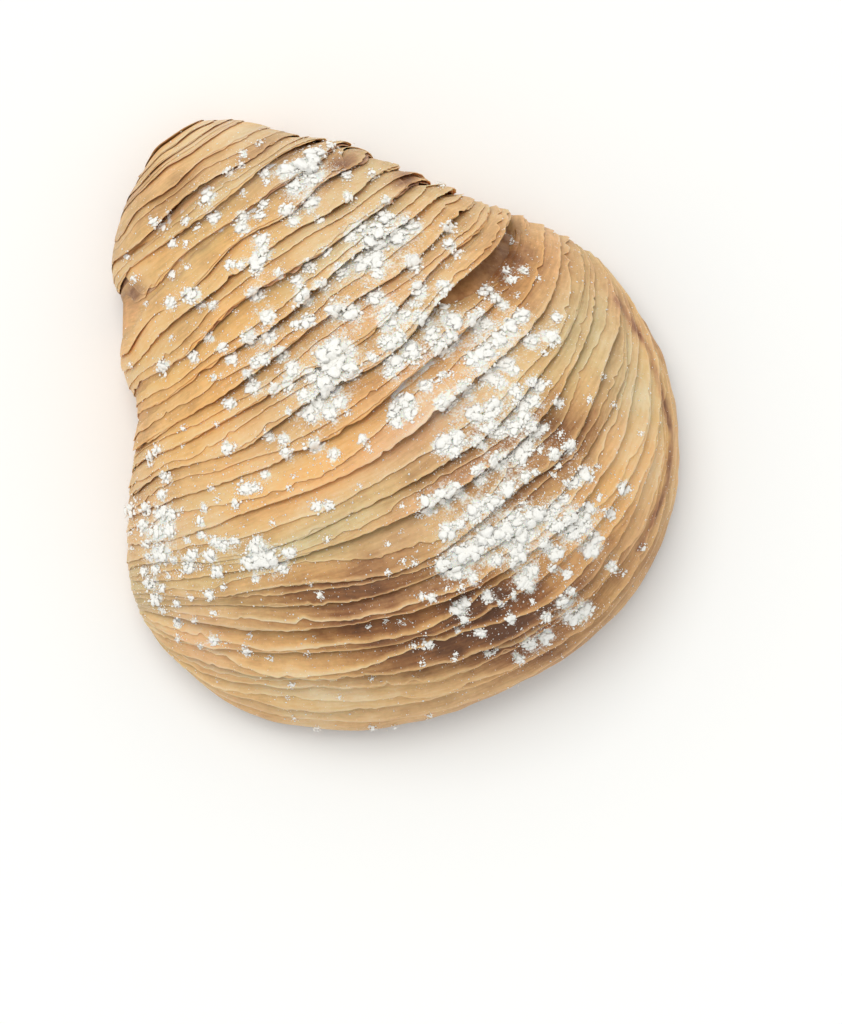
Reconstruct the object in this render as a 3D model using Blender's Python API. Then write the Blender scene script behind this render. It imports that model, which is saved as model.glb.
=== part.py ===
"""A sfogliatella: thin leaves of pastry fan out from two side tips and lap forward over a
domed body, from a narrow rounded back end to a wide round front. Clumps of sugar lie on it.
+Z is up, +Y points to the narrow back end, and the part rests on its flat underside."""
import math

import bmesh
import bpy
import numpy as np

# Driving dimensions, in millimetres
MM = 0.001
FOOT_HEIGHT = 8.0
RIM_SHRINK = 0.985
BASE_SHRINK = 0.93
RIM_HEIGHT = 2.6
WELD = 0.002

# Each station is one ring of the body, from the back end to the front hem: the place of its
# crown along the pastry, the crown's height, its left foot and its right foot.
STATIONS = np.array([
    (67.0, 13.0, -9.0, 66.0, 4.5, 66.5),
    (62.5, 22.5, -17.5, 61.5, 10.5, 62.0),
    (54.0, 29.5, -25.5, 53.5, 17.5, 53.0),
    (47.5, 32.0, -27.6, 47.0, 23.0, 48.0),
    (39.5, 35.5, -34.2, 38.8, 27.5, 39.5),
    (32.0, 38.0, -35.5, 32.5, 31.5, 32.5),
    (22.0, 42.0, -41.0, 25.5, 35.5, 26.0),
    (10.0, 45.5, -47.0, 19.0, 39.5, 20.0),
    (-3.0, 47.5, -52.5, 12.0, 44.0, 12.0),
    (-16.0, 47.0, -55.8, 6.5, 46.3, 7.0),
    (-27.0, 43.5, -57.2, 3.0, 47.4, 3.5),
    (-37.0, 36.0, -57.8, 0.0, 47.8, 1.0),
    (-45.0, 25.0, -57.9, -2.5, 47.8, -1.0),
    (-49.6, 13.0, -57.6, -5.0, 47.5, -3.0),
    (-50.2, 7.5, -57.0, -7.5, 47.0, -5.0),
])
CROWN_SIDE, CROWN_SLANT = 1.0, -0.07
FULL_LEFT_FROM, FULL_LEFT_TO = -30.0, -50.0

# The leaves
LEAVES = 27
LEAF_GROWTH = 0.9
LEAF_VARIATION = 0.28
LEAF_WANDER = 0.17
RELIEF = 1.15
FULL_SPACING = 4.2
ACROSS = 33
# Where a leaf's rows lie between its two lips, and how far each stands out of the body
LEAF_ROWS = (0.03, 0.30, 0.74, 0.94)
ROW_RISE = (-1.0, -0.25, 0.45, 0.95)

# Hollows between leaves at the edges: place along X and Y, radius and depth
HOLLOWS = ((-24.5, 48.3, 3.4, 3.6), (20.5, 43.6, 3.2, 2.2), (26.3, 35.4, 3.2, 2.2))

# Sugar: heaps by place, spread along X and Y, and number of clumps
SUGAR_HEAPS = (
    (-6.0, 12.5, 5.5, 3.6, 11),
    (15.0, 29.0, 6.5, 4.2, 11),
    (18.0, 46.0, 4.0, 3.4, 6),
    (6.5, -26.5, 8.5, 2.8, 12),
    (-32.5, -4.5, 3.2, 3.6, 7),
    (-48.0, 6.5, 4.5, 5.5, 9),
    (15.0, 0.0, 14.0, 9.0, 14),
    (1.0, -44.0, 9.0, 1.8, 7),
)
CLUMP_SIZES = (1.1, 2.3)
CLUMP_FLATNESS = 0.55
CLUMP_APART = 2.0
SEED = 41


def clear_scene():
    """Remove every object that the scene starts with."""
    for thing in list(bpy.data.objects):
        bpy.data.objects.remove(thing, do_unlink=True)


def smooth_line(knots, values, at):
    """Read a curve through the values at the knots, with no overshoot between them."""
    gaps = np.diff(knots)
    slopes = np.diff(values) / gaps
    before, after = slopes[:-1], slopes[1:]
    same_way = before * after > 0
    total = np.where(same_way, before + after, 1.0)
    inner = np.where(same_way, 2.0 * before * after / total, 0.0)
    tangents = np.concatenate(([slopes[0]], inner, [slopes[-1]]))
    cell = np.clip(np.searchsorted(knots, at, side="right") - 1, 0, len(gaps) - 1)
    gap = gaps[cell]
    t = (at - knots[cell]) / gap
    start = (1 + 2 * t) * (1 - t) ** 2 * values[cell] + t * (1 - t) ** 2 * gap * tangents[cell]
    end = t * t * (3 - 2 * t) * values[cell + 1] - t * t * (1 - t) * gap * tangents[cell + 1]
    return start + end


def spine_lengths():
    """Length along the line of crowns, from the back end to each station."""
    steps = np.hypot(np.diff(STATIONS[:, 0]), np.diff(STATIONS[:, 1]))
    return np.concatenate(([0.0], np.cumsum(steps)))


def leaf_lips(rng, total):
    """Spine length at each lip. The leaves widen toward the front and vary by chance."""
    number = np.arange(LEAVES)
    widths = 1.0 + LEAF_GROWTH * np.minimum(number / (0.55 * LEAVES), 1.0)
    widths = widths * (1.0 + LEAF_VARIATION * rng.uniform(-1.0, 1.0, LEAVES))
    return np.concatenate(([0.0], np.cumsum(widths))) * total / widths.sum()


def leaf_waves(rng):
    """Phases and numbers of waves for the wandering of each lip."""
    phases = rng.uniform(0.0, 2.0 * math.pi, (LEAVES + 1, 2))
    counts = rng.uniform(1.2, 4.5, (LEAVES + 1, 2))
    strength = np.ones(LEAVES + 1)
    strength[[0, -1]] = 0.0
    return phases, counts, strength


def wander(waves, number, side):
    """How far a lip strays from its even place, as a share of a leaf."""
    phases, counts, strength = waves
    total = 0.0
    for wave in range(2):
        total = total + np.sin(phases[number, wave] + counts[number, wave] * math.pi * side)
    return LEAF_WANDER * strength[number] * total * 0.5


def body_point(length, side):
    """A point of the smooth body. length runs along the spine, and side from -1 at the
    left foot to 1 at the right foot. A ring is an arch from foot to foot over its crown."""
    knots = spine_lengths()
    crown_y, crown_z, left_x, left_y, right_x, right_y = (
        smooth_line(knots, STATIONS[:, column], length) for column in range(6)
    )
    crown_x = CROWN_SIDE + CROWN_SLANT * crown_y
    lateral = np.sin(0.5 * math.pi * side)
    reach = np.abs(lateral)
    foot_x = np.where(lateral > 0, right_x, left_x)
    foot_y = np.where(lateral > 0, right_y, left_y)
    ellipse = np.cos(0.5 * math.pi * side)
    slack = np.cos(0.5 * math.pi * reach)
    full = np.clip((FULL_LEFT_FROM - crown_y) / (FULL_LEFT_FROM - FULL_LEFT_TO), 0.0, 1.0)
    left_lap = slack + (ellipse - slack) * full
    lap = np.where(lateral > 0, ellipse, left_lap)
    x = crown_x + reach * (foot_x - crown_x)
    y = foot_y + (crown_y - foot_y) * lap
    z = FOOT_HEIGHT + (crown_z - FOOT_HEIGHT) * ellipse
    return np.stack([x, y, z], axis=-1)


def outward(length, side):
    """The body's unit normal, and its length along the spine for one unit of length."""
    step = 0.02
    limit = spine_lengths()[-1]
    low, high = np.clip(length - step, 0, limit), np.clip(length + step, 0, limit)
    along = (body_point(high, side) - body_point(low, side)) / (high - low)[..., None]
    left, right = np.clip(side - step, -1, 1), np.clip(side + step, -1, 1)
    across = body_point(length, right) - body_point(length, left)
    normal = np.cross(across, -along)
    size = np.linalg.norm(normal, axis=-1, keepdims=True)
    normal = normal / np.maximum(size, 1e-9)
    return normal, np.linalg.norm(along, axis=-1)


def hollow_depth(points):
    """Depth of the hollows at each point, seen from above."""
    depth = 0.0
    for x, y, radius, deep in HOLLOWS:
        near = ((points[..., 0] - x) ** 2 + (points[..., 1] - y) ** 2) / radius**2
        depth = depth + deep * np.exp(-near * near)
    return depth


def leafy_surface(rng):
    """The domed top as rows of points: four rows for each leaf, whose lip stands proud and
    whose foot lies in a crevice behind the lip before it."""
    total = spine_lengths()[-1]
    lips = leaf_lips(rng, total)
    waves = leaf_waves(rng)
    side = np.linspace(1.0, -1.0, ACROSS + 1)
    rows = []
    for leaf in range(LEAVES):
        start = lips[leaf] + wander(waves, leaf, side) * (lips[leaf + 1] - lips[leaf])
        end = lips[leaf + 1] + wander(waves, leaf + 1, side) * (lips[leaf + 1] - lips[leaf])
        for place, rise in zip(LEAF_ROWS, ROW_RISE):
            length = np.clip(start + place * (end - start), 0.0, total)
            points = body_point(length, side)
            normal, stretch = outward(length, side)
            spacing = (end - start) * stretch
            room = np.clip(spacing / FULL_SPACING, 0.05, 1.25)
            fade = np.clip((1.0 - np.abs(side)) / 0.10, 0.15, 1.0)
            height = RELIEF * rise * room * fade
            rows.append(points + normal * (height - hollow_depth(points) * fade)[:, None])
    rows.append(body_point(np.full_like(side, total), side))
    rows[0] = body_point(np.zeros_like(side), side)
    return np.array(rows)


def pastry_mesh(rows):
    """Close the top with a rounded rim and a flat base. The rim follows the outline."""
    count, width = rows.shape[:2]
    bm = bmesh.new()
    grid = [[bm.verts.new(point * MM) for point in row] for row in rows]
    for r in range(count - 1):
        for c in range(width - 1):
            bm.faces.new((grid[r][c], grid[r + 1][c], grid[r + 1][c + 1], grid[r][c + 1]))
    outline = [grid[r][0] for r in range(count)]
    outline += [grid[-1][c] for c in range(1, width)]
    outline += [grid[r][-1] for r in range(count - 2, -1, -1)]
    outline += [grid[0][c] for c in range(width - 2, 0, -1)]
    centre_x = sum(v.co.x for v in outline) / len(outline)
    centre_y = 0.0
    loop = outline
    for shrink, height in ((RIM_SHRINK, RIM_HEIGHT), (BASE_SHRINK, 0.0)):
        ring = []
        for v in outline:
            x = centre_x + (v.co.x - centre_x) * shrink
            y = centre_y + (v.co.y - centre_y) * shrink
            ring.append(bm.verts.new((x, y, height * MM)))
        for i, v in enumerate(loop):
            j = (i + 1) % len(loop)
            bm.faces.new((v, ring[i], ring[j], loop[j]))
        loop = ring
    base = bm.faces.new(loop)
    bmesh.ops.recalc_face_normals(bm, faces=bm.faces)
    bmesh.ops.triangulate(bm, faces=[base], ngon_method="EAR_CLIP")
    mesh = bpy.data.meshes.new("sfogliatella")
    bm.to_mesh(mesh)
    bm.free()
    return mesh


def clump_mesh(rng, centre, normal, size):
    """One low clump of sugar, an uneven faceted lump lying on the pastry."""
    bm = bmesh.new()
    bmesh.ops.create_icosphere(bm, subdivisions=1, radius=1.0)
    corners = np.array([v.co for v in bm.verts])
    corners = corners * rng.uniform(0.8, 1.2, (len(corners), 1))
    sideways = np.cross(normal, (0.0, 1.0, 0.0))
    sideways = sideways / np.linalg.norm(sideways)
    forward = np.cross(normal, sideways)
    stretch = rng.uniform(0.75, 1.3)
    axes = np.stack([sideways * stretch, forward / stretch, normal * CLUMP_FLATNESS])
    placed = centre + (corners * size) @ axes
    for v, point in zip(bm.verts, placed):
        v.co = point * MM
    mesh = bpy.data.meshes.new("clump")
    bm.to_mesh(mesh)
    bm.free()
    return mesh


def sugar_spots(rng, rows):
    """Places for the clumps: in each heap, surface points drawn by their nearness to it."""
    along = rows[1:, 1:] - rows[:-1, :-1]
    across = rows[:-1, 1:] - rows[1:, :-1]
    normal = np.cross(across, along).reshape(-1, 3)
    size = np.linalg.norm(normal, axis=1, keepdims=True)
    normal = normal / np.maximum(size, 1e-9)
    normal = normal * np.sign(normal[:, 2:3])
    points = (0.25 * (rows[1:, 1:] + rows[:-1, :-1] + rows[:-1, 1:] + rows[1:, :-1])).reshape(-1, 3)
    open_up = (normal[:, 2] > 0.35) & (points[:, 2] > FOOT_HEIGHT + 4.0)
    spots = []
    for x, y, wide, long, number in SUGAR_HEAPS:
        near = ((points[:, 0] - x) / wide) ** 2 + ((points[:, 1] - y) / long) ** 2
        chance = np.exp(-near) * open_up * size[:, 0]
        chance = chance / chance.sum()
        for pick in rng.choice(len(points), number, replace=False, p=chance):
            clear = all(np.linalg.norm(points[pick] - spot) > CLUMP_APART for spot, _ in spots)
            if clear:
                spots.append((points[pick], normal[pick]))
    return spots


def pastry_material():
    """Golden baked dough."""
    material = bpy.data.materials.new("baked_dough")
    material.use_nodes = True
    shader = material.node_tree.nodes["Principled BSDF"]
    shader.inputs["Base Color"].default_value = (0.60, 0.36, 0.16, 1.0)
    shader.inputs["Roughness"].default_value = 0.62
    shader.inputs["Metallic"].default_value = 0.0
    return material


def fuse(body, clumps):
    """Join the clumps to the body by one union on their collection, then remove them."""
    group = bpy.data.collections.new("sugar")
    bpy.context.scene.collection.children.link(group)
    for number, mesh in enumerate(clumps):
        clump = bpy.data.objects.new(f"clump_{number:02d}", mesh)
        clump.hide_render = True
        clump.display_type = "WIRE"
        group.objects.link(clump)
    union = body.modifiers.new("sugar", "BOOLEAN")
    union.operation = "UNION"
    union.operand_type = "COLLECTION"
    union.collection = group
    union.solver = "EXACT"
    depsgraph = bpy.context.evaluated_depsgraph_get()
    joined = bpy.data.meshes.new_from_object(body.evaluated_get(depsgraph))
    body.modifiers.clear()
    body.data = joined
    for clump in list(group.objects):
        bpy.data.objects.remove(clump, do_unlink=True)
    bpy.data.collections.remove(group)


def drop_scraps(mesh):
    """Keep only the largest connected body of the mesh."""
    bm = bmesh.new()
    bm.from_mesh(mesh)
    bmesh.ops.remove_doubles(bm, verts=bm.verts, dist=WELD * MM)
    bmesh.ops.triangulate(bm, faces=bm.faces)
    waiting = set(bm.verts)
    bodies = []
    while waiting:
        edge = [waiting.pop()]
        found = set(edge)
        while edge:
            vertex = edge.pop()
            for link in vertex.link_edges:
                other = link.other_vert(vertex)
                if other in waiting:
                    waiting.remove(other)
                    found.add(other)
                    edge.append(other)
        bodies.append(found)
    bodies.sort(key=len)
    for scrap in bodies[:-1]:
        bmesh.ops.delete(bm, geom=list(scrap), context="VERTS")
    bm.to_mesh(mesh)
    bm.free()


def rest_at_origin(mesh):
    """Move the mesh so that the middle of its box stands on the origin."""
    points = np.empty(len(mesh.vertices) * 3)
    mesh.vertices.foreach_get("co", points)
    points = points.reshape(-1, 3)
    low, high = points.min(axis=0), points.max(axis=0)
    middle = 0.5 * (low + high)
    points -= (middle[0], middle[1], low[2])
    mesh.vertices.foreach_set("co", points.ravel())
    mesh.update()


def build():
    """Make the pastry, lay the sugar on it and stand it on the origin."""
    clear_scene()
    rng = np.random.default_rng(SEED)
    rows = leafy_surface(rng)
    body = bpy.data.objects.new("sfogliatella", pastry_mesh(rows))
    bpy.context.scene.collection.objects.link(body)
    clumps = []
    for centre, normal in sugar_spots(rng, rows):
        size = rng.uniform(*CLUMP_SIZES)
        clumps.append(clump_mesh(rng, centre, normal, size))
    fuse(body, clumps)
    drop_scraps(body.data)
    rest_at_origin(body.data)
    body.data.materials.clear()
    body.data.materials.append(pastry_material())


build()
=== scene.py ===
"""The looks of a sfogliatella: thin baked leaves that lap over each other from a narrow back
end to a wide round front, with clumps, grains and dust of white sugar on them."""
import math

import bmesh
import bpy
import numpy as np
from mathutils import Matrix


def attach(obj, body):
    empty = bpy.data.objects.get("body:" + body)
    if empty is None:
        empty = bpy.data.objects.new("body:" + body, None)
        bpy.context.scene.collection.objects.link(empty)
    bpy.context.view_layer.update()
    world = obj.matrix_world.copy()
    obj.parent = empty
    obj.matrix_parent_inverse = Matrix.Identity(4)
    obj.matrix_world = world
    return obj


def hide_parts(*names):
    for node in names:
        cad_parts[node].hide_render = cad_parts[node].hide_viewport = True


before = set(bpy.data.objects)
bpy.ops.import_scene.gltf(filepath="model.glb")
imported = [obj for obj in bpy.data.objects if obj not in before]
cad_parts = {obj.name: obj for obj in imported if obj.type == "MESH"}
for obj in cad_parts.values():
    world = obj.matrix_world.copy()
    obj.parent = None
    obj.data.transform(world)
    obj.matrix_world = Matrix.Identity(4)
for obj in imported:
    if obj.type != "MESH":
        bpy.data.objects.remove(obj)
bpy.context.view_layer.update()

# Sizes are in millimetres, and turn into metres where a mesh is made
MM = 0.001
NODE = "sfogliatella"

# The body, as in the solid: each station is one ring, from the back end to the front hem,
# given by its crown along the pastry, the crown's height, its left foot and its right foot.
STATIONS = np.array([
    (67.0, 13.0, -9.0, 66.0, 4.5, 66.5),
    (62.5, 22.5, -17.5, 61.5, 10.5, 62.0),
    (54.0, 29.5, -25.5, 53.5, 17.5, 53.0),
    (47.5, 32.0, -27.6, 47.0, 23.0, 48.0),
    (39.5, 35.5, -34.2, 38.8, 27.5, 39.5),
    (32.0, 38.0, -35.5, 32.5, 31.5, 32.5),
    (22.0, 42.0, -41.0, 25.5, 35.5, 26.0),
    (10.0, 45.5, -47.0, 19.0, 39.5, 20.0),
    (-3.0, 47.5, -52.5, 12.0, 44.0, 12.0),
    (-16.0, 47.0, -55.8, 6.5, 46.3, 7.0),
    (-27.0, 43.5, -57.2, 3.0, 47.4, 3.5),
    (-37.0, 36.0, -57.8, 0.0, 47.8, 1.0),
    (-45.0, 25.0, -57.9, -2.5, 47.8, -1.0),
    (-49.6, 13.0, -57.6, -5.0, 47.5, -3.0),
    (-50.2, 7.5, -57.0, -7.5, 47.0, -5.0),
])
# The middle of its box, the height of its feet, the line of its crowns, where its left side
# turns from a cosine to an ellipse, and the rim below its feet
BODY_MIDDLE = (-5.07, 7.77)
FOOT_HEIGHT = 8.0
CROWN_SIDE, CROWN_SLANT = 1.0, -0.07
FULL_LEFT_FROM, FULL_LEFT_TO = -30.0, -50.0
RIM_LENGTH = 8.5
RIM_CENTRE = (-5.0, 0.0)
RIM_PULL = 0.07
SIDE_UNIT = 85.0

# The leaves, as in the solid: how many, how they widen, vary and wander, how far they stand
# out, the spacing at which they do so in full, and how far the last turns under the hem
LEAVES = 27
LEAF_GROWTH = 0.9
LEAF_VARIATION = 0.28
LEAF_WANDER = 0.17
RELIEF = 1.15
FULL_SPACING = 4.2
HEM_REACH = 2.4
SEED = 41

# The inner body: its grid, how far it lies below the smooth body, and the rings of its
# underside as shares of its outline
CORE_GRID, CORE_SINK = (150, 130), 2.2
UNDERSIDE_SHARES = np.linspace(0.93, 0.05, 14)

# The sheets of dough: the step along a lip, how thick they are and the shortest edge kept.
# Each runs from its root, in laps of its leaf, through rows up to its lip. Between two lips
# of the solid lies an upper one, and below each leaf lies an under one.
STEP = 0.40
THICKNESS = 0.27
SHORTEST_EDGE = 0.0001
ROOT, UPPER_ROOT, UNDER_ROOT, INNER_ROOT = -0.45, -0.30, 0.30, -0.2
UPPER_LIFT = 0.42
UNDER_SINK, INNER_SINK = 0.40, 1.1
LEAF_ROWS = (0.0, 0.17, 0.31, 0.42, 0.52, 0.62, 0.71, 0.79, 0.86, 0.92, 0.965, 1.0)
UPPER_ROWS = (0.0, 0.30, 0.52, 0.70, 0.83, 0.92, 0.97, 1.0)
UNDER_ROWS = (0.0, 0.45, 0.78, 0.93, 1.0)

# How deep a leaf starts behind the lip before, and how proud its own lip stands: everywhere,
# more in front, and how much each wavers, broadly and finely. And how much a lip curls.
DEEP = (0.74, 0.25, 0.26, 0.10)
PROUD = (0.56, 0.22, 0.20, 0.10)
CURL = (0.24, 0.12)
# How far down the rim a lip runs, and the samples that measure it
LIP_FOOT, LIP_SAMPLES = 0.86, 600
# A ragged lip: how far it strays, and over what length. Its notches: the length that has one,
# their half widths and their depths.
RAGGED = ((0.16, 8.0), (0.09, 2.2), (0.13, 0.9))
NOTCH_SPACING, NOTCH_HALF, NOTCH_DEPTH = 16.0, (0.5, 2.4), (0.15, 0.7)
# The second lip on a leaf: how far along it lies, and how that wavers. And how far the lip
# below a leaf peeps out.
UPPER_FRONT, UPPER_WANDER, PEEP = 0.58, (0.26, 0.08), 0.5

# Where a lip gapes: leaf, side, half width, extra depth behind it, extra rise
GAPES = (
    (4, -0.25, 0.45, 1.1, 0.3),
    (5, 0.25, 0.50, 0.4, 0.2),
    (9, 0.30, 0.35, 0.3, 0.2),
    (10, 0.10, 0.30, 0.3, 0.1),
    (13, 0.66, 0.34, 2.6, 1.1),
    (14, 0.68, 0.26, -0.5, -1.1),
    (14, 0.20, 0.28, 0.8, 0.3),
    (15, 0.10, 0.18, 0.9, 0.3),
    (17, -0.10, 0.30, 0.5, 0.2),
    (18, 0.40, 0.30, 0.4, 0.2),
    (20, -0.35, 0.40, 1.1, 0.5),
    (22, -0.30, 0.40, 0.9, 0.5),
)
# Where a leaf is torn back and shows the inner dough, or reaches on where the depth is
# less than nothing: leaf, side, half width, depth
TEARS = (
    (6, -0.86, 0.20, 7.0),
    (7, -0.72, 0.38, -2.2),
    (7, 0.80, 0.20, 4.5),
    (9, 0.84, 0.14, 4.2),
)
# Leaves with no second one over them
SINGLE = (-1, 0, 1, 3, 6, 7, 8, 25, 26)

# Colour regions: place, spread along X and Y, then added browning, gold and rose. Two of them,
# marked below, are painted shade.
REGIONS = (
    (-14, 62, 12, 7, 0.10, 0.65, 0.30),
    (7, 62, 14, 7, -0.26, 0.65, 0.35),
    # These two thin bands between lips on the back end are painted shade.
    (-3, 58.4, 8, 1.8, 0.20, 0.20, 0.20),
    (9, 55, 7, 1.7, 0.20, 0.20, 0.20),
    (-20, 51, 7, 6, -0.12, 0.80, 0.10),
    (-24.3, 47.7, 2.6, 2.1, 0.54, 0.10, 0.60),
    (-29, 42, 8, 5, 0.00, 1.00, 0.20),
    (-12, 33, 10, 8, 0.11, 0.45, 0.00),
    (-3, 44, 9, 7, 0.00, 0.35, 0.00),
    (12, 46, 8, 6, 0.00, 0.05, 0.40),
    (20.5, 44, 3, 2, 0.50, 0.20, 0.50),
    (27.5, 35.6, 2.6, 2, 0.47, 0.20, 0.50),
    (-31, 25, 10, 12, -0.05, 0.95, 0.05),
    (-25, 12, 8, 5, -0.04, 0.10, 0.00),
    (-32, 5, 9, 4, 0.00, 0.30, 0.00),
    (-14, 1, 14, 4, 0.06, 0.80, 0.10),
    (-2, 9, 9, 4, 0.08, 0.50, 0.00),
    (3, -2, 12, 4, -0.17, 0.25, 0.65),
    (12, 5, 14, 4.5, 0.04, 0.42, 0.50),
    (10, 19, 16, 3, 0.04, 0.40, 0.35),
    (12, 29, 16, 7, -0.16, 0.00, 0.05),
    (32.5, 10.5, 6.5, 6.5, 0.42, 0.80, 0.10),
    (40, 10, 4, 9, 0.10, 0.40, 0.10),
    (21.5, -16.5, 7.5, 6.5, 0.30, -0.05, 0.10),
    (36, -8, 7, 14, -0.02, -0.35, 0.00),
    (36, -21, 6, 6, -0.04, -0.20, 0.00),
    (32, -31, 8, 6, -0.06, 0.35, 0.10),
    (20, -38, 9, 6, 0.12, 0.35, 0.15),
    (-22, -6.5, 10, 4.5, -0.13, -0.28, 0.02),
    (-15, -16.5, 9, 3.5, 0.22, 0.10, 0.25),
    (-3, -37, 9, 6, 0.16, 0.10, 0.05),
    (3, -22, 14, 3, 0.20, 0.00, 0.05),
    (0, -14, 12, 5, 0.06, 0.20, 0.40),
    (-41, -27, 9, 12, -0.22, -0.20, 0.05),
    (-51, -8, 6, 8, -0.06, 0.35, 0.50),
    (-46, 12, 6, 8, -0.04, 0.30, 0.35),
    (8, -46, 20, 5, 0.20, 0.30, 0.10),
    (46, -8, 2.5, 10, 0.18, 0.10, 0.40),
    (5, -37, 13, 6, 0.16, 0.20, 0.10),
)
# Browning, gold and rose: everywhere; added in the dark bands, browner with painted shade over
# real browning behind a lip and paler with a painted highlight on it; low on the rim; and on the
# dark red line along the right rim, partly painted shade. TORN_SHADE is that of the dough in a
# tear.
BASE_COLOUR = (0.35, 0.38, 0.08)
BAND_BROWNING_SHADE_AND_HIGHLIGHT = ((0.50, -0.42), (0.45, -0.50), (0.18, 0.12))
RIM_COLOUR = (0.12, 0.0, 0.40)
RED_SHADED_LINE_COLOUR = (0.42, 0.0, 0.80)
TORN_SHADE = (0.34, 0.10, 0.75, 5.0)
# The dark bands in front, real browning with painted shade on the shaded front flank, all turned
# alike: middle, half length, half width and strength
DARK_BANDS = (
    (-18.8, -28.6, 28.5, 9.5, 1.00),
    (12.0, -15.5, 17.0, 8.0, 0.42),
)
DARK_TURN = math.radians(-36.0)

# A dark red line along the right rim, where the last leaf ends: reddish dough with painted shade
# on it
RED_SHADED_LINE = ((45.2, -4.0), (44.6, -15.0), (42.2, -22.0), (39.0, -30.0), (33.0, -36.5), (22.0, -43.0))
RED_SHADED_LINE_WIDTH = 0.6

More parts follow.
